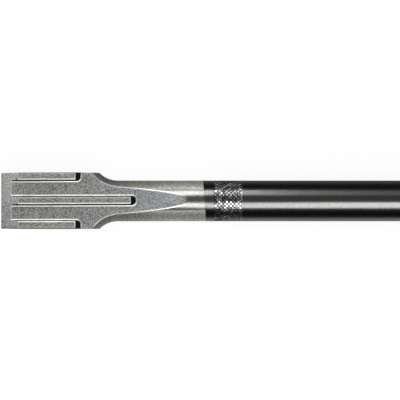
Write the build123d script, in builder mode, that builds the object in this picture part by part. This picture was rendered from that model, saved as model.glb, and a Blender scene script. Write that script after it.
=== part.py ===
from build123d import *

import os
from math import cos, radians, sin, sqrt, tan

# Flat chisel for a hammer machine: one forged steel bar, flattened and ribbed at one end, with a slotted
# shank at the other.
# +X runs from the cutting edge to the striking end, +Y across the blade and +Z up from its flat face. The
# origin is the centre of the striking end. Sizes are in millimetres and degrees, and a size named "from
# edge" is measured along +X from the cutting edge.

# Bar
overall_length = 280.0
bar_diameter = 18.0
end_chamfer = 1.5

# Blade, its ground edge and its two inclined faces
blade_width = 24.6
edge_land = 0.5
crest_from_edge = 4.46
crest_thickness = 6.4
face_angle = 4.234

# Shoulders, where the blade draws in to the round bar
shoulder_from_edge = 51.6
shoulder_radius = 11.5

# Raised ribs on each face, one down the middle and one at each side
rib_height = 1.92
rib_draft = 15.0
rib_end_run = 2.2
rib_root_corner = 1.8
rib_crown_corner = 0.45
rib_root_fillet = 0.5
rib_crown_fillet = 0.25
side_break = 0.3
centre_rib_width = 3.6
centre_rib_from_edge = 57.6
side_rib_width = 3.43
side_rib_from_edge = 33.3

# Knurled grip band, turned down to the root of its fine diamonds
knurl_from_edge = 94.2
knurl_width = 11.7
knurl_depth = 0.16

# Open drive slots of the shank, one above and two below
slot_angles = (90.0, 235.0, 305.0)
slot_width = 4.6
slot_depth = 2.7
slot_length = 74.0
slot_run_out_radius = 9.0

# Closed locking grooves of the shank, one on each side
groove_angles = (0.0, 180.0)
groove_radius = 4.0
groove_depth = 2.3
groove_straight = 28.0
groove_from_end = 43.0

# Stock that is forged or cut away around the finished form
allowance = 2.0

# Sizes that follow from those above
bar_radius = bar_diameter / 2
half_blade = blade_width / 2
half_centre_rib = centre_rib_width / 2
half_land = edge_land / 2
crest_height = crest_thickness / 2
edge_x = -overall_length
rise = tan(radians(face_angle))
bevel_rise = (crest_height - half_land) / crest_from_edge
run_out_from_edge = crest_from_edge + (bar_radius - crest_height) / rise
face_end_from_edge = run_out_from_edge + allowance
shoulder_axis_y = bar_radius + shoulder_radius
centre_rib_end = centre_rib_from_edge + rib_end_run
blank_height = crest_height + (centre_rib_end - crest_from_edge) * rise + rib_height
stock_half = half_blade + allowance
stock_height = bar_radius + rib_height + allowance
draft_run = rib_height * tan(radians(rib_draft)) / 2

# Views from above and from the side, both from the cutting edge, a section at the shoulders, and the upper
# face
plan = Plane(origin=(edge_x, 0, 0))
side = Plane(origin=(edge_x, 0, 0), x_dir=(1, 0, 0), z_dir=(0, -1, 0))
shoulder_section = Plane.YZ.offset(edge_x + shoulder_from_edge)
face = Plane(
    origin=(edge_x + crest_from_edge, 0, crest_height),
    x_dir=(1, 0, rise),
    z_dir=(-rise, 0, 1),
)


def along_face(from_edge):
    """Distance on the inclined face, from its crest line, of a point this far from the cutting edge."""
    return (from_edge - crest_from_edge) / cos(radians(face_angle))


face_start = along_face(-allowance)
face_length = along_face(face_end_from_edge) - face_start
across = Plane(origin=face.from_local_coords((face_start, 0, 0)), x_dir=(0, 1, 0), z_dir=(1, 0, rise))


def radial(angle):
    """Plane through the bar's axis at the striking end, its local y pointing outwards at this angle."""
    turn = radians(angle)
    return Plane(origin=(0, 0, 0), x_dir=(1, 0, 0), z_dir=(0, -sin(turn), cos(turn)))


def rib_outline(height, low, high, end, corner):
    """Outline of a rib at a height over the face, from low to high across it, its free corners rounded."""
    with BuildSketch(face.offset(height)) as outline:
        with Locations((face_start, (low + high) / 2)):
            Rectangle(end - face_start, high - low, align=(Align.MIN, Align.CENTER))
        end_corners = outline.vertices().group_by(Axis.X)[-1]
        fillet([point for point in end_corners if point.Y < half_blade], radius=corner)
    return outline.sketch


def rib_edges(part, height, low, high, end):
    """Edges at a height over the upper face, between low and high across it, that end before a distance."""
    found = []
    for edge in part.edges():
        first, middle, last = (face.to_local_coords(edge @ step) for step in (0.0, 0.5, 1.0))
        level = all(abs(point.Z - height) < rib_crown_fillet / 10 for point in (first, middle, last))
        inside = low < middle.Y < high and min(first.Y, last.Y) < stock_half - draft_run / 10
        if level and inside and along_face(0) - allowance / 2 < middle.X < end:
            found.append(edge)
    return found


with BuildPart() as impression:
    # Half of the stock under the upper face, from ahead of the cutting edge to where the face has run out
    with BuildSketch(face):
        with Locations((face_start, 0)):
            Rectangle(face_length, 2 * stock_half, align=(Align.MIN, Align.CENTER))
    extrude(amount=-2 * stock_height)

    # Centre rib and side rib, with drafted walls, a gentler end and rounded free corners
    for low, high, from_edge in (
        (-half_centre_rib, half_centre_rib, centre_rib_from_edge),
        (half_blade - side_rib_width, stock_half, side_rib_from_edge),
    ):
        end = along_face(from_edge)
        high_run = draft_run if high < half_blade else 0
        root = rib_outline(0, low - draft_run, high + high_run, end + rib_end_run, rib_root_corner)
        crown = rib_outline(rib_height, low + draft_run, high - high_run, end, rib_crown_corner)
        loft([root, crown], ruled=True)
        reach = (low - 2 * draft_run, high + 2 * high_run, end + 2 * rib_end_run)
        fillet(rib_edges(impression, 0, *reach), radius=rib_root_fillet)
        fillet(rib_edges(impression, rib_height, *reach), radius=rib_crown_fillet)

    # Corner broken along the crown of the side rib
    break_reach = 2 * allowance + side_break
    with BuildSketch(across):
        Polygon(
            (half_blade - side_break, rib_height),
            (half_blade - side_break, rib_height + allowance),
            (half_blade - side_break + break_reach, rib_height + allowance),
            (half_blade - side_break + break_reach, rib_height - break_reach),
            align=None,
        )
    extrude(amount=face_length, mode=Mode.SUBTRACT)

    # Ground bevel, from the edge land over the face and the ribs
    with BuildSketch(side):
        Polygon(
            (0, half_land),
            ((stock_height - half_land) / bevel_rise, stock_height),
            (-2 * allowance, stock_height),
            (-2 * allowance, -2 * stock_height),
            (0, -2 * stock_height),
            align=None,
        )
    extrude(amount=2 * stock_half, both=True, mode=Mode.SUBTRACT)

    # The other half is its mirror image
    split(bisect_by=Plane.XZ, keep=Keep.BOTTOM)
    mirror(about=Plane.XZ)

with BuildPart() as chisel:
    # Flat blank of the blade
    with BuildSketch(plan):
        with Locations((-allowance, 0)):
            Rectangle(shoulder_from_edge + allowance, blade_width, align=(Align.MIN, Align.CENTER))
    extrude(amount=blank_height, both=True)

    # Shoulders, each hollowed by the outside of the bar's section, turned about an upright axis
    for hand in (1, -1):
        with BuildSketch(shoulder_section):
            with Locations((hand * shoulder_axis_y / 2, 0)):
                Rectangle(shoulder_axis_y, 2 * blank_height + allowance / 4)
            Circle(bar_radius, mode=Mode.SUBTRACT)
        shoulder_axis = Axis((edge_x + shoulder_from_edge, hand * shoulder_axis_y, 0), (0, 0, 1))
        revolve(axis=shoulder_axis, mode=Mode.SUBTRACT)

    # Front of the round bar, with stock for the end of the centre rib, which stands just proud of the bar
    with BuildSketch(shoulder_section):
        Circle(bar_radius)
    extrude(amount=face_end_from_edge - shoulder_from_edge)
    with BuildSketch(plan):
        with Locations((shoulder_from_edge, 0)):
            Rectangle(
                centre_rib_end + allowance - shoulder_from_edge,
                centre_rib_width + allowance,
                align=(Align.MIN, Align.CENTER),
            )
    extrude(amount=blank_height, both=True)

    # Both faces with their ribs, struck over blade and bar
    add(impression.part, mode=Mode.INTERSECT)
    add(impression.part.mirror(Plane.XY), mode=Mode.INTERSECT)

    # Rest of the round bar, to the chamfered striking end
    with BuildSketch(Plane.YZ.offset(edge_x + face_end_from_edge)):
        Circle(bar_radius)
    extrude(amount=overall_length - face_end_from_edge)
    chamfer(chisel.faces().sort_by(Axis.X)[-1].edges(), length=end_chamfer)

    # Root of the knurled grip band
    with BuildSketch(Plane.YZ.offset(edge_x + knurl_from_edge)):
        Circle(bar_radius + allowance)
        Circle(bar_radius - knurl_depth, mode=Mode.SUBTRACT)
    extrude(amount=knurl_width, mode=Mode.SUBTRACT)

    # Open drive slots, which run out in the curve of their cutter
    slot_floor = bar_radius - slot_depth
    slot_lid = bar_radius + allowance
    run_out_drop = slot_floor + slot_run_out_radius - slot_lid
    run_out_start = -slot_length - sqrt(slot_run_out_radius**2 - run_out_drop**2)
    for angle in slot_angles:
        with BuildSketch(radial(angle)):
            with BuildLine():
                Polyline(
                    (-slot_length, slot_floor),
                    (allowance, slot_floor),
                    (allowance, slot_lid),
                    (run_out_start, slot_lid),
                )
                RadiusArc((-slot_length, slot_floor), (run_out_start, slot_lid), slot_run_out_radius)
            make_face()
        extrude(amount=slot_width / 2, both=True, mode=Mode.SUBTRACT)

    # Closed locking grooves, round in section and at both ends
    groove_axis_radius = bar_radius - groove_depth + groove_radius
    for angle in groove_angles:
        with BuildSketch(radial(angle)):
            with Locations((-groove_from_end, groove_axis_radius)):
                SlotCenterToCenter(groove_straight, 2 * groove_radius)
                Rectangle(
                    groove_straight + 3 * groove_radius,
                    2 * groove_radius,
                    align=(Align.CENTER, Align.MIN),
                    mode=Mode.SUBTRACT,
                )
        turn = radians(angle)
        groove_axis = Axis((0, groove_axis_radius * cos(turn), groove_axis_radius * sin(turn)), (1, 0, 0))
        revolve(axis=groove_axis, mode=Mode.SUBTRACT)

chisel.part.label = "chisel"
os.makedirs("parts", exist_ok=True)
export_step(chisel.part, "parts/chisel.step")
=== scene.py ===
"""Looks of a flat chisel with a slotted hammer shank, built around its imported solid.

The chisel lies along X, from its cutting edge at -X to its striking end at the origin, and the blade's flat
faces look up and down Z. Sizes are in metres and angles in degrees unless a name says otherwise.
"""

from __future__ import annotations

import logging
import math
from dataclasses import dataclass, field
from enum import Enum

import bpy
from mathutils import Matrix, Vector


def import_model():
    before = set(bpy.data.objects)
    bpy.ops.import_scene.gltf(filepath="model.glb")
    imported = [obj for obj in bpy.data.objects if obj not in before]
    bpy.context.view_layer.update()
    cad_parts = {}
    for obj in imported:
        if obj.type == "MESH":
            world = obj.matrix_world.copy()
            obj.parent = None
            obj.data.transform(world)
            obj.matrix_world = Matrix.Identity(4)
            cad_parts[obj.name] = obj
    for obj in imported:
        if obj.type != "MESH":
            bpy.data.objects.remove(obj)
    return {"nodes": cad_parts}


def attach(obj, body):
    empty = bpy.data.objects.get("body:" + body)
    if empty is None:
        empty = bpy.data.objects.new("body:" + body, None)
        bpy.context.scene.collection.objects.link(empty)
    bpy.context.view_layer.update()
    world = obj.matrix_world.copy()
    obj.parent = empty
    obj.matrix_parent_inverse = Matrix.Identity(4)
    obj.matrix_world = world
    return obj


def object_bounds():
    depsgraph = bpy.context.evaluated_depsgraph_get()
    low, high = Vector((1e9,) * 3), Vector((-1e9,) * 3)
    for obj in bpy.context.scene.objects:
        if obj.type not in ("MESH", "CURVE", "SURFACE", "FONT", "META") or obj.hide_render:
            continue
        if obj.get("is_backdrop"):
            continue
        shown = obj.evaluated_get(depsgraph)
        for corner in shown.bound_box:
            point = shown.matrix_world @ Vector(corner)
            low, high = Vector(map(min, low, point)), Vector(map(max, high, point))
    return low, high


MM = 0.001
BODY = "root"
ROUNDING_SAMPLES = 8
log = logging.getLogger("chisel")

Socket = bpy.types.NodeSocket
Colour = tuple[float, float, float]
Amount = float | Socket
Tone = Colour | Socket


class Ease(Enum):
    """How a value passes from nothing to all."""

    STRAIGHT = "LINEAR"
    SOFT = "SMOOTHSTEP"


class Layering(Enum):
    """How one colour lies on another."""

    OVER = "MIX"
    TINT = "MULTIPLY"


class Hand(Enum):
    """Side of the bar on which a lamp stands."""

    FAR = 1
    NEAR = -1


@dataclass(frozen=True)
class Span:
    """Stretch over which one thing passes into another."""

    start: float
    end: float

    def moved(self, by: float) -> Span:
        """The same stretch, moved along."""
        return Span(self.start + by, self.end + by)

    def scaled(self, factor: float) -> Span:
        """The same stretch in another unit."""
        return Span(self.start * factor, self.end * factor)


@dataclass(frozen=True)
class Pattern:
    """Random pattern: the size of its largest patches, its finer layers and how strong they are."""

    size: float
    layers: float
    strength: float


class Graph:
    """A node tree, with short calls for the nodes that the finishes and the knurl are made of."""

    def __init__(self, tree: bpy.types.NodeTree) -> None:
        """Takes an empty node tree."""
        self.tree = tree

    def node(self, kind: str, inputs: dict | None = None, **settings: object) -> bpy.types.Node:
        """Adds a node.

        Args:
            kind: the node's class name.
            inputs: values or sockets for its inputs, by name or number.
            settings: attributes of the node, such as its operation.

        Returns:
            The new node.
        """
        made = self.tree.nodes.new(kind)
        for name, value in settings.items():
            setattr(made, name, value)
        for name, value in (inputs or {}).items():
            self.feed(made.inputs[name], value)
        return made

    def feed(self, socket: Socket, value: object) -> None:
        """Gives an input its value.

        Args:
            socket: the input.
            value: a socket to link, or a value to set.
        """
        if isinstance(value, Socket):
            self.tree.links.new(value, socket)
        else:
            socket.default_value = value

    def math(self, operation: str, *values: Amount) -> Socket:
        """Works out a number from one, two or three others, in the node's order."""
        return self.node("ShaderNodeMath", dict(enumerate(values)), operation=operation).outputs[0]

    def product(self, first: Amount, *others: Amount) -> Socket:
        """Multiplies numbers.

        Args:
            first: the first number or socket.
            others: what it is multiplied by, one after the other.

        Returns:
            The socket of the result.
        """
        result = first
        for other in others:
            result = self.math("MULTIPLY", result, other)
        return result

    def distance(self, across: Socket, up: Socket) -> Socket:
        """Distance from the bar's axis."""
        return self.math("SQRT", self.math("ADD", self.product(across, across), self.product(up, up)))

    def step(
        self, value: Amount, span: Span, before: float, after: float, ease: Ease = Ease.SOFT
    ) -> Socket:
        """Passes from one number to another as a value goes through a span.

        Args:
            value: the number or socket that is read.
            span: where the change starts and ends.
            before: the result up to the span's start.
            after: the result from the span's end on.
            ease: how the change runs.

        Returns:
            The socket of the result.
        """
        inputs = {
            "Value": value,
            "From Min": span.start,
            "From Max": span.end,
            "To Min": before,
            "To Max": after,
        }
        return self.node("ShaderNodeMapRange", inputs, interpolation_type=ease.value).outputs[0]

    def rise(self, value: Amount, span: Span, ease: Ease = Ease.SOFT) -> Socket:
        """Mask that comes in as a value goes through a span."""
        return self.step(value, span, 0.0, 1.0, ease)

    def fall(self, value: Amount, span: Span) -> Socket:
        """Mask that goes out as a value goes through a span."""
        return self.step(value, span, 1.0, 0.0)

    def mix(self, factor: Amount, first: Amount, second: Amount) -> Socket:
        """Blends two numbers by a factor from 0 to 1."""
        return self.node("ShaderNodeMix", {0: factor, 2: first, 3: second}, data_type="FLOAT").outputs[0]

    def blend(
        self, factor: Amount, first: Tone, second: Tone, layering: Layering = Layering.OVER
    ) -> Socket:
        """Lays a colour on another.

        Args:
            factor: how much of it shows, from 0 to 1.
            first: the colour below.
            second: the colour on it.
            layering: how it lies there.

        Returns:
            The socket of the result.
        """
        inputs = {0: factor, 6: opaque(first), 7: opaque(second)}
        made = self.node("ShaderNodeMix", inputs, data_type="RGBA", blend_type=layering.value)
        return made.outputs[2]

    def noise(self, place: Socket, pattern: Pattern) -> Socket:
        """Random cloud of about 0 to 1.

        Args:
            place: where it is read.
            pattern: its sizes.

        Returns:
            The socket of the cloud.
        """
        inputs = {
            "Vector": place,
            "Scale": 1 / pattern.size,
            "Detail": pattern.layers,
            "Roughness": pattern.strength,
        }
        return self.node("ShaderNodeTexNoise", inputs).outputs[0]

    def place(self) -> Socket:
        """Place of a point of the surface, in the object's own coordinates."""
        return self.node("ShaderNodeTexCoord").outputs["Object"]

    def axes(self, place: Socket) -> tuple[Socket, Socket, Socket]:
        """Splits a place into its X, Y and Z."""
        apart = self.node("ShaderNodeSeparateXYZ", {0: place}).outputs
        return apart[0], apart[1], apart[2]

    def rounded(self, radius: float) -> Socket:
        """Way that the surface faces with its edges and corners rounded to a radius."""
        return self.node("ShaderNodeBevel", {"Radius": radius}, samples=ROUNDING_SAMPLES).outputs[0]


def opaque(tone: Tone) -> tuple[float, float, float, float] | Socket:
    """A colour with full alpha, or a socket as it is."""
    return tone if isinstance(tone, Socket) else (*tone, 1.0)


def clean_material(name: str, metallic: float) -> tuple[bpy.types.Material, Graph, bpy.types.Node]:
    """Makes a material with one surface shader.

    Args:
        name: the material's name.
        metallic: 1 for bare or coated metal, 0 for other things.

    Returns:
        The material, its graph and its surface shader.
    """
    material = bpy.data.materials.new(name)
    material.use_nodes = True
    material.node_tree.nodes.clear()
    graph = Graph(material.node_tree)
    surface = graph.node("ShaderNodeBsdfPrincipled", {"Metallic": metallic})
    graph.node("ShaderNodeOutputMaterial", {"Surface": surface.outputs[0]})
    return material, graph, surface


@dataclass(frozen=True)
class SteelFinish:
    """Colours, roughness and depth of grain of one zone of the steel.

    The first colour and roughness are those of its bright specks, the second those of its dull ones.
    """

    colour: Colour
    dull_colour: Colour
    roughness: float
    dull_roughness: float
    grain_mm: float

    def tone(self, graph: Graph, speck: Socket) -> Socket:
        """Colour at a speck, from the dull one at 0 to the bright one at 1."""
        return graph.blend(speck, self.dull_colour, self.colour)

    def gloss(self, graph: Graph, speck: Socket) -> Socket:
        """Roughness at a speck, from the dull one at 0 to the bright one at 1."""
        return graph.mix(speck, self.dull_roughness, self.roughness)


@dataclass(frozen=True)
class Spot:
    """Where a point of the surface lies on the chisel."""

    place: Socket
    from_edge: Socket
    across: Socket
    height: Socket
    under_bevel: Socket
    over_face: Socket
    off_bar: Socket


@dataclass(frozen=True)
class Form:
    """The chisel's own sizes, which its finishes and its knurl follow.

    They are the solid's, apart from where the coat starts and how high the knurl's crests stand.
    """

    length: float = 280.0 * MM
    bar_radius: float = 9.0 * MM
    half_land: float = 0.25 * MM
    crest_from_edge: float = 4.46 * MM
    crest_height: float = 3.2 * MM
    face_angle: float = 4.234
    rib_height: float = 1.92 * MM
    coat_from_edge: float = 89.75 * MM
    knurl_from_edge: float = 94.2 * MM
    knurl_width: float = 11.7 * MM
    knurl_root: float = 8.84 * MM
    knurl_crest: float = 8.985 * MM

    def spot(self, graph: Graph) -> Spot:
        """Measures a point of the surface against the solid's form.

        Args:
            graph: the material's graph.

        Returns:
            The sockets of what is measured.
        """
        place = graph.place()
        along, across, up = graph.axes(place)
        from_edge = graph.math("ADD", along, self.length)
        height = graph.math("ABSOLUTE", up)
        bevel_rise = (self.crest_height - self.half_land) / self.crest_from_edge
        bevel_height = graph.math("MULTIPLY_ADD", from_edge, bevel_rise, self.half_land)
        face_rise = math.tan(math.radians(self.face_angle))
        face_start = self.crest_height - face_rise * self.crest_from_edge
        face_height = graph.math("MULTIPLY_ADD", from_edge, face_rise, face_start)
        over_bar = graph.math("SUBTRACT", graph.distance(across, up), self.bar_radius)
        return Spot(
            place=place,
            from_edge=from_edge,
            across=across,
            height=height,
            under_bevel=graph.math("SUBTRACT", bevel_height, height),
            over_face=graph.math("SUBTRACT", height, face_height),
            off_bar=graph.math("ABSOLUTE", over_bar),
        )


@dataclass(frozen=True)
class EdgeWearAndHighlight:
    """Bright line along the edges and corners, partly worn steel where the scale is rubbed off and partly a
    painted highlight.

    Apart from lean, which tells an edge from a plain surface, its spans are measured from the cutting
    edge or from the blade's middle line.
    """

    radius: float = 0.92 * MM
    lean: Span = Span(0.02, 0.12)
    blade_side: Span = Span(11.5 * MM, 11.9 * MM)
    past_side_ribs: Span = Span(37.0 * MM, 41.0 * MM)
    past_centre_rib: Span = Span(3.0 * MM, 3.6 * MM)
    shoulder: Span = Span(52.0 * MM, 66.0 * MM)
    shoulder_highlight_share: float = 0.35
    tongue_highlight_share: float = 0.70
    far_crown_inside: Span = Span(1.1 * MM, 1.3 * MM)
    far_crown_outside: Span = Span(1.80 * MM, 1.95 * MM)
    centre_rib_end: Span = Span(57.0 * MM, 58.0 * MM)
    far_crown_highlight_share: float = 0.15

    def share(self, graph: Graph, spot: Spot) -> Socket:
        """How strong an edge's wear and painted highlight are at a place.

        Args:
            graph: the material's graph.
            spot: where the point lies.

        Returns:
            A share from 0 to 1. The painted highlight is dimmer where the faces run out over the bar and
            along the far side of the centre rib's crown, and there is none along the blade's sides.
        """
        off_middle = graph.math("ABSOLUTE", spot.across)
        past_ribs = graph.product(
            graph.rise(spot.from_edge, self.past_side_ribs),
            graph.rise(off_middle, self.past_centre_rib),
        )
        run_out = graph.step(spot.from_edge, self.shoulder, self.shoulder_highlight_share, self.tongue_highlight_share)
        # Dimmer painted highlight along the far side of the centre rib's crown
        far_crown = graph.product(
            graph.rise(spot.across, self.far_crown_inside),
            graph.fall(spot.across, self.far_crown_outside),
            graph.fall(spot.from_edge, self.centre_rib_end),
        )
        elsewhere = graph.mix(past_ribs, 1.0, run_out)
        inside = graph.fall(off_middle, self.blade_side)
        return graph.product(graph.mix(far_crown, elsewhere, self.far_crown_highlight_share), inside)

    def mask(self, graph: Graph, spot: Spot) -> Socket:
        """Finds the edges, where the rounded and the true surface face different ways.

        Args:
            graph: the material's graph.
            spot: where the point lies.

        Returns:
            A mask from 0 to 1.
        """
        true = graph.node("ShaderNodeNewGeometry").outputs["Normal"]
        ways = {0: graph.rounded(self.radius), 1: true}
        lean = graph.node("ShaderNodeVectorMath", ways, operation="DISTANCE").outputs["Value"]
        return graph.product(graph.rise(lean, self.lean), self.share(graph, spot))


@dataclass(frozen=True)
class ChiselFinish:
    """Bare steel on the blade and the front of the bar, black coat behind.

    Each zone has a finish and the spans over which its mask comes in or goes out. A span that ends in
    from_edge is measured from the cutting edge.
    """

    form: Form = Form()
    faces: SteelFinish = SteelFinish((0.438, 0.438, 0.422), (0.080, 0.082, 0.078), 0.40, 0.52, 0.030)
    tongue: SteelFinish = SteelFinish((0.510, 0.530, 0.547), (0.140, 0.147, 0.154), 0.40, 0.52, 0.030)
    crowns: SteelFinish = SteelFinish((0.490, 0.483, 0.443), (0.095, 0.093, 0.084), 0.40, 0.52, 0.025)
    sides: SteelFinish = SteelFinish((0.59, 0.579, 0.531), (0.185, 0.178, 0.163), 0.50, 0.65, 0.025)
    sides_rear: SteelFinish = SteelFinish((0.96, 0.95, 0.885), (0.35, 0.342, 0.317), 0.50, 0.65, 0.025)
    bar: SteelFinish = SteelFinish((0.27, 0.27, 0.265), (0.216, 0.216, 0.21), 0.22, 0.28, 0.004)
    # Edge lines: near-white worn steel that also carries a painted highlight
    edges: SteelFinish = SteelFinish((0.98, 0.98, 0.96), (0.86, 0.86, 0.84), 0.33, 0.40, 0.004)
    # Rib walls: painted shade, far darker than the faces
    walls: SteelFinish = SteelFinish((0.05, 0.05, 0.048), (0.03, 0.03, 0.03), 0.40, 0.50, 0.020)
    bevel: SteelFinish = SteelFinish((0.38, 0.38, 0.38), (0.110, 0.110, 0.112), 0.34, 0.46, 0.010)
    coat: SteelFinish = SteelFinish((0.168, 0.170, 0.168), (0.138, 0.138, 0.136), 0.19, 0.23, 0.003)
    rims: SteelFinish = SteelFinish((0.26, 0.26, 0.255), (0.22, 0.22, 0.215), 0.24, 0.30, 0.003)

    # Grit of the blasted steel, the clouds over it and its faint hues, each with the values it fades between
    grit: Pattern = Pattern(0.54 * MM, 2.0, 0.7)
    grit_edge: Span = Span(0.40, 0.60)
    grit_share: float = 0.8
    clouds: Pattern = Pattern(9.0 * MM, 3.0, 0.55)
    cloud_edge: Span = Span(0.3, 0.7)
    hues: Pattern = Pattern(7.0 * MM, 2.0, 0.5)
    hue_edge: Span = Span(0.35, 0.65)
    warm_tint: Colour = (1.0, 0.995, 0.965)
    cool_tint: Colour = (0.97, 0.995, 1.0)

    # Edges and corners: worn steel with a painted highlight along them
    edge_round: float = 0.60 * MM
    wear: EdgeWearAndHighlight = EdgeWearAndHighlight()

    # Blade: over the face, under the bevel's plane, and on the ribs in shares of their height
    tongue_from_edge: Span = Span(32.0 * MM, 72.0 * MM)
    sides_over_face: Span = Span(-0.30 * MM, -0.05 * MM)
    sides_rear_from_edge: Span = Span(48.0 * MM, 76.0 * MM)
    under_bevel: Span = Span(0.02 * MM, 0.08 * MM)
    rib_wall_foot: Span = Span(0.03, 0.10)
    rib_wall_head: Span = Span(0.94, 0.99)
    rib_crown: Span = Span(0.80, 0.96)

    # Smooth top of the bar: off its surface, and by its height, which counts for more on the far side
    off_bar: Span = Span(0.03 * MM, 0.12 * MM)
    bar_from_edge: Span = Span(50.0 * MM, 76.0 * MM)
    bar_top: Span = Span(7.40 * MM, 8.0 * MM)
    bar_top_lean: float = 0.035

    # Coat, from its slanted and slightly ragged border, and its bright rim, from the grip band's rear
    coat_border: Span = Span(-0.12 * MM, 0.12 * MM)
    coat_slant: float = 0.067
    coat_rag: float = 0.9 * MM
    rag: Pattern = Pattern(2.2 * MM, 3.0, 0.6)
    rim_front: Span = Span(-0.05 * MM, 0.02 * MM)
    rim_back: Span = Span(0.35 * MM, 0.55 * MM)

    def blade_zones(self, graph: Graph, spot: Spot) -> dict[str, Socket]:
        """Masks of the blade's own zones.

        Args:
            graph: the material's graph.
            spot: where the point lies.

        Returns:
            A mask from 0 to 1 for each zone, by the name of its finish.
        """
        rib_height = self.form.rib_height
        below_face = graph.fall(spot.over_face, self.sides_over_face)
        behind_shoulders = graph.rise(spot.from_edge, self.sides_rear_from_edge)
        return {
            "tongue": graph.rise(spot.from_edge, self.tongue_from_edge, Ease.STRAIGHT),
            "crowns": graph.rise(spot.over_face, self.rib_crown.scaled(rib_height)),
            "sides": below_face,
            "sides_rear": graph.product(below_face, behind_shoulders),
            # Painted shade on the rib walls, between their foot and head
            "walls": graph.product(
                graph.rise(spot.over_face, self.rib_wall_foot.scaled(rib_height)),
                graph.fall(spot.over_face, self.rib_wall_head.scaled(rib_height)),
            ),
            "bevel": graph.fall(spot.under_bevel, self.under_bevel),
        }

    def coated(self, graph: Graph, spot: Spot) -> Socket:
        """Mask of the black coat.

        Args:
            graph: the material's graph.
            spot: where the point lies.

        Returns:
            A mask from 0 to 1.
        """
        rag = graph.math("SUBTRACT", graph.noise(spot.place, self.rag), 0.5)
        slanted = graph.math("MULTIPLY_ADD", spot.across, self.coat_slant, spot.from_edge)
        ragged = graph.math("MULTIPLY_ADD", rag, self.coat_rag, slanted)
        return graph.rise(ragged, self.coat_border.moved(self.form.coat_from_edge))

    def bar_zones(self, graph: Graph, spot: Spot) -> dict[str, Socket]:
        """Masks of the bar's own zones.

        Args:
            graph: the material's graph.
            spot: where the point lies.

        Returns:
            A mask from 0 to 1 for each zone, by the name of its finish.
        """
        form = self.form
        leaning = graph.math("MULTIPLY_ADD", spot.across, self.bar_top_lean, spot.height)
        past_band = graph.math("SUBTRACT", spot.from_edge, form.knurl_from_edge + form.knurl_width)
        return {
            "bar": graph.product(
                graph.fall(spot.off_bar, self.off_bar),
                graph.rise(leaning, self.bar_top),
                graph.rise(spot.from_edge, self.bar_from_edge),
            ),
            "coat": self.coated(graph, spot),
            "rims": graph.product(
                graph.rise(past_band, self.rim_front), graph.fall(past_band, self.rim_back)
            ),
        }

    def layers(self, graph: Graph, spot: Spot) -> list[tuple[SteelFinish, Socket]]:
        """Lists the finishes that lie over the faces' own.

        Args:
            graph: the material's graph.
            spot: where the point lies.

        Returns:
            Each finish with its mask, from the lowest to the uppermost.
        """
        masks = self.blade_zones(graph, spot) | self.bar_zones(graph, spot)
        masks["edges"] = self.wear.mask(graph, spot)
        return [
            (self.tongue, masks["tongue"]),
            (self.crowns, masks["crowns"]),
            (self.sides, masks["sides"]),
            (self.sides_rear, masks["sides_rear"]),
            (self.bar, masks["bar"]),
            (self.edges, masks["edges"]),
            (self.walls, masks["walls"]),
            (self.bevel, masks["bevel"]),
            (self.coat, masks["coat"]),
            (self.rims, masks["rims"]),
        ]

    def build(self) -> bpy.types.Material:
        """Makes the material of the whole solid.

        Returns:
            The material.
        """
        material, graph, surface = clean_material("forged_steel", 1.0)
        spot = self.form.spot(graph)
        grit = graph.rise(graph.noise(spot.place, self.grit), self.grit_edge)
        clouds = graph.rise(graph.noise(spot.place, self.clouds), self.cloud_edge, Ease.STRAIGHT)
        clouded = graph.product(clouds, 1 - self.grit_share)
        speck = graph.math("MULTIPLY_ADD", grit, self.grit_share, clouded)
        hue = graph.rise(graph.noise(spot.place, self.hues), self.hue_edge)
        tint = graph.blend(hue, self.warm_tint, self.cool_tint)
        colour = self.faces.tone(graph, speck)
        roughness = self.faces.gloss(graph, grit)
        grain: Amount = self.faces.grain_mm * MM
        for finish, mask in self.layers(graph, spot):
            colour = graph.blend(mask, colour, finish.tone(graph, speck))
            roughness = graph.mix(mask, roughness, finish.gloss(graph, grit))
            grain = graph.mix(mask, grain, finish.grain_mm * MM)
        bump = graph.node(
            "ShaderNodeBump",
            {
                "Height": graph.product(grit, grain),
                "Distance": 1.0,
                "Strength": 1.0,
                "Normal": graph.rounded(self.edge_round),
            },
        )
        graph.feed(surface.inputs["Base Color"], graph.blend(1.0, colour, tint, Layering.TINT))
        graph.feed(surface.inputs["Roughness"], roughness)
        graph.feed(surface.inputs["Normal"], bump.outputs[0])
        return material


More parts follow.
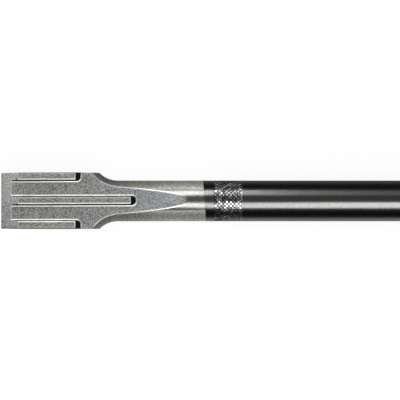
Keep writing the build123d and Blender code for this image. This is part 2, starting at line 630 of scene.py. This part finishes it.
@dataclass(frozen=True)
class KnurlFinish:
    """Black coat on the grip band, rubbed in patches on the crests of its diamonds, with painted shade at
    their foot.
    """

    form: Form = Form()
    coat: SteelFinish = SteelFinish((0.055, 0.056, 0.055), (0.03, 0.03, 0.03), 0.215, 0.27, 0.0)
    foot_shade: Colour = (0.02, 0.02, 0.02)
    rubbed: Colour = (0.64, 0.64, 0.63)
    speckle: Pattern = Pattern(1.6 * MM, 3.0, 0.7)
    rubbed_edge: Span = Span(0.40, 0.58)
    least_rubbed: float = 0.18
    crest_skin: Span = Span(-0.05 * MM, -0.02 * MM)
    foot_shade_skin: Span = Span(0.0, 0.07 * MM)

    def build(self) -> bpy.types.Material:
        """Makes the material of the diamonds.

        Returns:
            The material.
        """
        form = self.form
        material, graph, surface = clean_material("knurled_grip", 1.0)
        place = graph.place()
        _, across, up = graph.axes(place)
        radius = graph.distance(across, up)
        speckle = graph.noise(place, self.speckle)
        crest = graph.rise(radius, self.crest_skin.moved(form.knurl_crest))
        foot_shade = graph.fall(radius, self.foot_shade_skin.moved(form.knurl_root))
        share = graph.step(speckle, self.rubbed_edge, self.least_rubbed, 1.0)
        colour = self.coat.tone(graph, speckle)
        colour = graph.blend(graph.product(crest, share), colour, self.rubbed)
        # Painted shade in the crease at the diamonds' foot
        colour = graph.blend(foot_shade, colour, self.foot_shade)
        graph.feed(surface.inputs["Base Color"], colour)
        graph.feed(surface.inputs["Roughness"], self.coat.gloss(graph, speckle))
        return material


@dataclass
class Bar:
    """The chisel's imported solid, which keeps its own mesh and gets its finish."""

    finish: ChiselFinish = field(default_factory=ChiselFinish)

    def dress(self, node: bpy.types.Object) -> bpy.types.Object:
        """Puts the finish on the solid.

        Args:
            node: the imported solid.

        Returns:
            The same object.
        """
        node.data.materials.clear()
        node.data.materials.append(self.finish.build())
        return node


@dataclass
class GripBand:
    """Raised diamonds of the knurled band, each a small flat-topped pyramid on the band's root.

    Wear is the most that a diamond is sunk by chance, and tilt the most that it leans by chance.
    """

    form: Form = field(default_factory=Form)
    finish: KnurlFinish = field(default_factory=KnurlFinish)
    per_turn: int = 34
    rows: int = 14
    flat_share: float = 0.62
    sunk: float = 0.05 * MM
    wear: float = 0.02 * MM
    tilt: float = 4.0
    seed: int = 7

    def sizes(self) -> dict[str, int | float]:
        """Values of the geometry nodes' inputs, by name."""
        form = self.form
        return {
            "Per turn": self.per_turn,
            "Rows": self.rows,
            "Start": form.knurl_from_edge - form.length,
            "Width": form.knurl_width,
            "Root radius": form.knurl_root,
            "Crest radius": form.knurl_crest,
            "Sunk": self.sunk,
            "Flat share": self.flat_share,
            "Wear": self.wear,
            "Tilt": math.radians(self.tilt),
        }

    def drawn(self, graph: Graph, low: Amount, high: Amount, seed: int) -> Socket:
        """Random number for each diamond, from low to high."""
        inputs = {"Min": low, "Max": high, "Seed": seed}
        return graph.node("FunctionNodeRandomValue", inputs, data_type="FLOAT").outputs[1]

    def pyramid(self, graph: Graph, inputs: bpy.types.NodeOutputs, pitch: Socket) -> Socket:
        """Makes one diamond, standing on the origin.

        Args:
            graph: the geometry nodes' graph.
            inputs: the tree's named inputs.
            pitch: the length of a row along the bar.

        Returns:
            The diamond, as long and wide as its place on the band.
        """
        depth = graph.math("SUBTRACT", inputs["Crest radius"], inputs["Root radius"])
        cone = {
            "Vertices": 4,
            "Radius Top": inputs["Flat share"],
            "Radius Bottom": 1.0,
            "Depth": graph.math("ADD", depth, inputs["Sunk"]),
        }
        raised = graph.node("GeometryNodeMeshCone", cone).outputs["Mesh"]
        half_turn = graph.math("DIVIDE", math.pi, inputs["Per turn"])
        width = graph.product(inputs["Root radius"], half_turn)
        scale = graph.node("ShaderNodeCombineXYZ", {0: pitch, 1: width, 2: 1.0}).outputs[0]
        return graph.node("GeometryNodeTransform", {"Geometry": raised, "Scale": scale}).outputs[0]

    def facing(self, graph: Graph, inputs: bpy.types.NodeOutputs, angle: Socket) -> Socket:
        """Turns each diamond outwards, tilted a little at random.

        Args:
            graph: the geometry nodes' graph.
            inputs: the tree's named inputs.
            angle: the diamond's place around the bar.

        Returns:
            The rotation.
        """
        most = inputs["Tilt"]
        least = graph.product(most, -1.0)
        tilt_around = self.drawn(graph, least, most, self.seed + 1)
        tilt_along = self.drawn(graph, least, most, self.seed + 2)
        outwards = graph.math("SUBTRACT", angle, math.pi / 2)
        turned = graph.math("ADD", outwards, tilt_around)
        lean = graph.node("ShaderNodeCombineXYZ", {0: turned, 1: tilt_along}).outputs[0]
        return graph.node("FunctionNodeEulerToRotation", {0: lean}).outputs[0]

    def tree(self, material: bpy.types.Material) -> bpy.types.NodeTree:
        """Makes the geometry nodes that place the diamonds.

        Args:
            material: the diamonds' material.

        Returns:
            The node tree, with its sizes as named inputs.
        """
        tree = bpy.data.node_groups.new("knurl_diamonds", "GeometryNodeTree")
        tree.interface.new_socket("Geometry", in_out="OUTPUT", socket_type="NodeSocketGeometry")
        for name, value in self.sizes().items():
            kind = "NodeSocketInt" if isinstance(value, int) else "NodeSocketFloat"
            tree.interface.new_socket(name, in_out="INPUT", socket_type=kind)
        graph = Graph(tree)
        inputs = graph.node("NodeGroupInput").outputs
        index = graph.node("GeometryNodeInputIndex").outputs[0]
        row = graph.math("FLOOR", graph.math("DIVIDE", index, inputs["Per turn"]))
        column = graph.math("MODULO", index, inputs["Per turn"])
        odd = graph.math("MODULO", row, 2.0)
        staggered = graph.math("MULTIPLY_ADD", odd, 0.5, column)
        angle = graph.product(graph.math("DIVIDE", staggered, inputs["Per turn"]), math.tau)
        pitch = graph.math("DIVIDE", inputs["Width"], inputs["Rows"])
        along = graph.math("MULTIPLY_ADD", graph.math("ADD", row, 0.5), pitch, inputs["Start"])
        foot = graph.math("SUBTRACT", inputs["Root radius"], inputs["Sunk"])
        level = graph.math("SUBTRACT", foot, self.drawn(graph, 0.0, inputs["Wear"], self.seed))
        around = graph.product(level, graph.math("COSINE", angle))
        up = graph.product(level, graph.math("SINE", angle))
        place = graph.node("ShaderNodeCombineXYZ", {0: along, 1: around, 2: up}).outputs[0]
        count = graph.product(inputs["Per turn"], inputs["Rows"])
        points = graph.node("GeometryNodePoints", {"Count": count, "Position": place}).outputs[0]
        placed = graph.node(
            "GeometryNodeInstanceOnPoints",
            {
                "Points": points,
                "Instance": self.pyramid(graph, inputs, pitch),
                "Rotation": self.facing(graph, inputs, angle),
            },
        ).outputs[0]
        real = graph.node("GeometryNodeRealizeInstances", {0: placed}).outputs[0]
        dressed = graph.node("GeometryNodeSetMaterial", {"Geometry": real, "Material": material}).outputs[0]
        graph.node("NodeGroupOutput", {0: dressed})
        return tree

    def build(self) -> bpy.types.Object:
        """Makes the diamonds as one plain mesh that rides on the bar.

        Returns:
            The piece.
        """
        mesh = bpy.data.meshes.new("knurl_seed")
        piece = bpy.data.objects.new("knurl_diamonds", mesh)
        bpy.context.scene.collection.objects.link(piece)
        modifier = piece.modifiers.new("diamonds", "NODES")
        modifier.node_group = self.tree(self.finish.build())
        sizes = self.sizes()
        for item in modifier.node_group.interface.items_tree:
            if item.in_out == "INPUT":
                modifier[item.identifier] = sizes[item.name]
        bpy.context.view_layer.update()
        evaluated = piece.evaluated_get(bpy.context.evaluated_depsgraph_get())
        piece.data = bpy.data.meshes.new_from_object(evaluated)
        piece.data.name = "knurl_diamonds"
        piece.modifiers.clear()
        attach(piece, BODY)
        return piece


@dataclass
class Floor:
    """Sheet that the chisel lies on, white to the camera; its own colour is pale on the near side and painted
    dark on the far side and far out, as painted shade.

    The camera sees it glow, so that it stays white around the chisel's shadow, and the steel mirrors a
    fainter glow, which is fainter still away from the chisel.
    """

    half_width: float = 3.0
    roughness: float = 0.9
    # Painted shade: the sheet's own colour is dark on the far side and far out
    far_shade_colour: Colour = (0.08, 0.08, 0.08)
    near_colour: Colour = (0.60, 0.60, 0.60)
    outer_shade_colour: Colour = (0.04, 0.04, 0.04)
    glow_colour: Colour = (1.0, 1.0, 1.0)
    far_glow: float = 0.915
    near_glow: float = 0.65
    outer_glow: float = 1.0
    mirrored_share: float = 0.12
    outer_mirrored_share: float = 0.012
    near_to_far: Span = Span(-20.0 * MM, 20.0 * MM)
    inner_to_outer: Span = Span(20.0 * MM, 60.0 * MM)

    def sheet(self) -> bpy.types.Material:
        """Makes the sheet's material.

        Returns:
            The material. What the camera sees of its glow lights nothing, and what the steel mirrors
            of it isn't seen by the camera.
        """
        material, graph, surface = clean_material("white_sheet", 0.0)
        _, across, _ = graph.axes(graph.place())
        far = graph.rise(across, self.near_to_far)
        outer = graph.rise(graph.math("ABSOLUTE", across), self.inner_to_outer)
        inner_shaded_colour = graph.blend(far, self.near_colour, self.far_shade_colour)
        inner_glow = graph.mix(far, self.near_glow, self.far_glow)
        rays = graph.node("ShaderNodeLightPath").outputs
        mirrored = graph.math("MAXIMUM", rays["Is Glossy Ray"], rays["Is Transmission Ray"])
        share = graph.mix(outer, self.mirrored_share, self.outer_mirrored_share)
        seen = graph.product(rays["Is Camera Ray"], graph.mix(outer, inner_glow, self.outer_glow))
        glow = graph.math("MAXIMUM", seen, graph.product(mirrored, share))
        # Base colour, with the painted shade on the far side and far out
        graph.feed(surface.inputs["Base Color"], graph.blend(outer, inner_shaded_colour, self.outer_shade_colour))
        graph.feed(surface.inputs["Roughness"], self.roughness)
        graph.feed(surface.inputs["Specular IOR Level"], 0.0)
        graph.feed(surface.inputs["Emission Color"], opaque(self.glow_colour))
        graph.feed(surface.inputs["Emission Strength"], glow)
        return material

    def build(self, level: float) -> bpy.types.Object:
        """Makes the floor at a height.

        Args:
            level: height of its upper side.

        Returns:
            The floor.
        """
        reach = self.half_width
        corners = [(x * reach, y * reach, level) for x, y in ((-1, -1), (1, -1), (1, 1), (-1, 1))]
        mesh = bpy.data.meshes.new("floor")
        mesh.from_pydata(corners, [], [(0, 1, 2, 3)])
        mesh.materials.append(self.sheet())
        sheet = bpy.data.objects.new("floor", mesh)
        bpy.context.scene.collection.objects.link(sheet)
        sheet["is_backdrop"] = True
        return sheet


def soft_box(name: str, length: float, width: float, glow: float) -> bpy.types.Object:
    """Makes a soft box that the camera doesn't see.

    Args:
        name: the lamp's name.
        length: its size along its own X.
        width: its size along its own Y.
        glow: its brightness, where 1 is white.

    Returns:
        The lamp, not yet hung.
    """
    light = bpy.data.lights.new(name, "AREA")
    light.shape = "RECTANGLE"
    light.size = length
    light.size_y = width
    light.energy = glow * math.pi * length * width
    lamp = bpy.data.objects.new(name, light)
    lamp.visible_camera = False
    bpy.context.scene.collection.objects.link(lamp)
    return lamp


@dataclass(frozen=True)
class StripLamp:
    """Long soft box that runs along the bar, between two angles from upright."""

    name: str
    hand: Hand
    inner: float
    outer: float
    glow: float
    front: float = -0.3
    rear: float = 0.3
    distance: float = 0.7

    def build(self, target: Vector) -> bpy.types.Object:
        """Hangs the lamp so that it looks at a point.

        Args:
            target: the point on the bar.

        Returns:
            The lamp.
        """
        width = 2 * self.distance * math.tan(math.radians(self.outer - self.inner) / 2)
        lamp = soft_box(self.name, self.rear - self.front, width, self.glow)
        lean = math.radians(self.inner + self.outer) / 2 * self.hand.value
        middle = target + Vector(((self.front + self.rear) / 2, 0, 0))
        lamp.location = middle + Vector((0, math.sin(lean), math.cos(lean))) * self.distance
        lamp.rotation_euler = (-lean, 0, 0)
        return lamp


@dataclass(frozen=True)
class CornerBox:
    """Square soft box that looks at the chisel from beyond a corner or an end."""

    name: str
    tilt: float
    swing: float
    size: float
    glow: float
    distance: float = 0.8

    def build(self, target: Vector) -> bpy.types.Object:
        """Hangs the box so that it looks at a point.

        Args:
            target: the point on the bar.

        Returns:
            The lamp.
        """
        lamp = soft_box(self.name, self.size, self.size, self.glow)
        tilt = math.radians(self.tilt)
        swing = math.radians(self.swing)
        way = Vector((math.sin(tilt) * math.cos(swing), math.sin(tilt) * math.sin(swing), math.cos(tilt)))
        lamp.location = target + way * self.distance
        lamp.rotation_euler = way.to_track_quat("Z", "Y").to_euler()
        return lamp


@dataclass
class Studio:
    """Lamps, world and camera.

    The camera looks down at the photographed front of the chisel, from slightly on its near side.
    """

    view_centre: Vector = field(default_factory=lambda: Vector((-0.1922, 0.0004, 0.0)))
    view_width: float = 0.1767
    view_tilt: float = 1.9
    lens_mm: float = 180.0
    sensor_mm: float = 36.0
    world_colour: Colour = (0.9, 0.95, 1.0)
    world_glow: float = 0.015
    lamps: tuple[StripLamp | CornerBox, ...] = (
        StripLamp("near_strip_front", Hand.NEAR, 16.5, 41.0, 4.1, rear=0.03),
        StripLamp("near_strip_rear", Hand.NEAR, 11.0, 42.5, 4.6, front=0.03),
        StripLamp("far_strip_front", Hand.FAR, 32.5, 61.0, 6.2, rear=0.02),
        StripLamp("far_strip_rear", Hand.FAR, 34.0, 57.0, 0.35, front=0.02),
        StripLamp("top_strip", Hand.FAR, -7.0, 33.0, 0.15),
        CornerBox("tip_box", 66.0, 157.5, 0.60, 2.85),
        CornerBox("front_near_box", 60.0, 235.0, 0.45, 0.5),
        CornerBox("front_far_box", 60.0, 125.0, 0.45, 0.5),
        CornerBox("rear_near_box", 60.0, 320.0, 0.45, 0.5),
        CornerBox("rear_far_box", 60.0, 40.0, 0.45, 0.5),
    )

    def light(self, scene: bpy.types.Scene) -> None:
        """Hangs the lamps and sets the world's faint light.

        Args:
            scene: the scene that is lit.
        """
        world = bpy.data.worlds.new("studio")
        world.use_nodes = True
        background = world.node_tree.nodes["Background"]
        background.inputs["Color"].default_value = opaque(self.world_colour)
        background.inputs["Strength"].default_value = self.world_glow
        scene.world = world
        for lamp in self.lamps:
            lamp.build(self.view_centre)

    def look(self, scene: bpy.types.Scene) -> None:
        """Sets up the camera, as far away as the view's width asks.

        Args:
            scene: the scene that is seen.
        """
        camera = bpy.data.cameras.new("camera")
        camera.lens = self.lens_mm
        camera.sensor_width = self.sensor_mm
        holder = bpy.data.objects.new("camera", camera)
        away = self.view_width * self.lens_mm / self.sensor_mm
        tilt = math.radians(self.view_tilt)
        holder.location = self.view_centre + Vector((0, -math.sin(tilt), math.cos(tilt))) * away
        holder.rotation_euler = (tilt, 0, 0)
        scene.collection.objects.link(holder)
        scene.camera = holder

    def build(self) -> None:
        """Sets up the light and the camera."""
        scene = bpy.context.scene
        scene.view_settings.view_transform = "Standard"
        self.light(scene)
        self.look(scene)


def main() -> None:
    """Builds the dressed chisel, its floor, light and camera."""
    logging.basicConfig(level=logging.INFO, format="%(message)s")
    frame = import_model()
    solid_box = [list(corner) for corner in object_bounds()]
    chisel = Bar().dress(frame["nodes"]["chisel"])
    log.info("%s: dressed", chisel.name)
    knurl = GripBand().build()
    log.info("%s: %d faces", knurl.name, len(knurl.data.polygons))
    floor = Floor().build(solid_box[0][2])
    log.info("%s: at height %.5f", floor.name, floor.data.vertices[0].co.z)
    Studio().build()
    log.info("studio: lamps and camera")


if __name__ == "__main__":
    main()
